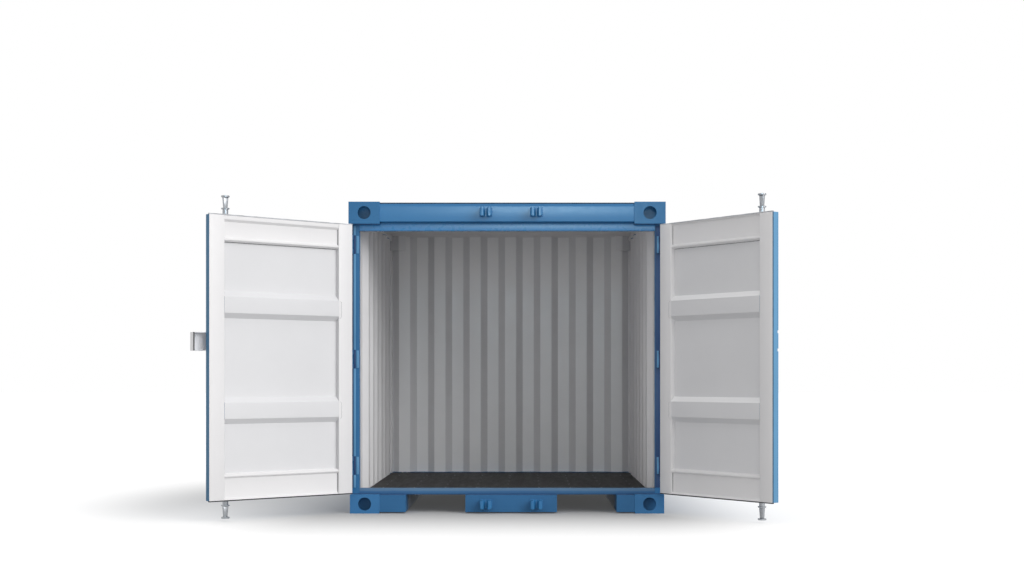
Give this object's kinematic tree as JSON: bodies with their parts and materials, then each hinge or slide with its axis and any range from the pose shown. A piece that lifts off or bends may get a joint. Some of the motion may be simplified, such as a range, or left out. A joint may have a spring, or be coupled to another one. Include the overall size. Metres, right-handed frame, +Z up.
{
  "type": "shipping container",
  "caption": "Small steel storage container with corrugated walls, fork pockets, corner castings and two hinged doors, each with a turning locking bar.",
  "frame": {"origin": "centre of the base, on the ground, midway between the four bottom castings' holes", "axes": "+Z up, -Y out of the doorway, +X to the right as seen from in front of the doors"},
  "size_m": [3.3526, 2.7357, 1.917],
  "materials": {
    "blue_paint": "semi-gloss blue paint",
    "two_tone_paint": "white paint inside, blue paint outside",
    "galvanised": "zinc plated",
    "floor_board": "dark film faced plywood",
    "seal": "matt black rubber"
  },
  "bodies": {
    "container": {"bottom_side_rails": "blue_paint", "floor_crossmembers": "blue_paint", "floor_panel": "floor_board", "fork_pockets": "blue_paint", "front_bottom_castings": "blue_paint", "front_header": "blue_paint", "front_posts": "blue_paint", "front_sill": "blue_paint", "front_top_castings": "blue_paint", "header_keepers": "blue_paint", "left_hinge_brackets": "blue_paint", "left_side_wall": "two_tone_paint", "rear_bottom_castings": "blue_paint", "rear_header": "blue_paint", "rear_posts": "blue_paint", "rear_sill": "blue_paint", "rear_top_castings": "blue_paint", "rear_wall": "two_tone_paint", "right_hinge_brackets": "blue_paint", "right_side_wall": "two_tone_paint", "roof_panel": "blue_paint", "sill_keepers": "blue_paint", "top_side_rails": "blue_paint"},
    "left_leaf": {"left_bar_guides": "galvanised", "left_door_gasket": "seal", "left_door_panel": "two_tone_paint", "left_door_rails": "two_tone_paint", "left_door_stiles": "two_tone_paint", "left_hinge_blades": "blue_paint", "left_lock_housing": "galvanised"},
    "right_leaf": {"right_bar_guides": "galvanised", "right_door_gasket": "seal", "right_door_panel": "two_tone_paint", "right_door_rails": "two_tone_paint", "right_door_stiles": "two_tone_paint", "right_hinge_blades": "blue_paint", "right_lock_staple": "galvanised"},
    "left_bar": {"left_lock_bar": "galvanised", "left_lock_handle": "galvanised"},
    "right_bar": {"right_lock_bar": "galvanised", "right_lock_handle": "galvanised"}
  },
  "joints": [
    {"name": "left_door_hinge", "type": "hinge", "parent": "container", "child": "left_leaf", "pos_m": [-0.962, -0.979, 0.95], "axis": [0, 0, -1], "range_deg": [-140.6, 104.4]},
    {"name": "right_door_hinge", "type": "hinge", "parent": "container", "child": "right_leaf", "pos_m": [0.962, -0.979, 0.95], "axis": [0, 0, 1], "range_deg": [-127.8, 117.2]},
    {"name": "left_lock_bar_turn", "type": "hinge", "parent": "left_leaf", "child": "left_bar", "pos_m": [-1.6303, -1.47619, 0.95], "axis": [0, 0, 1], "range_deg": [0, 90]},
    {"name": "right_lock_bar_turn", "type": "hinge", "parent": "right_leaf", "child": "right_bar", "pos_m": [1.4729, -1.57238, 0.95], "axis": [0, 0, -1], "range_deg": [0, 90]}
  ]
}
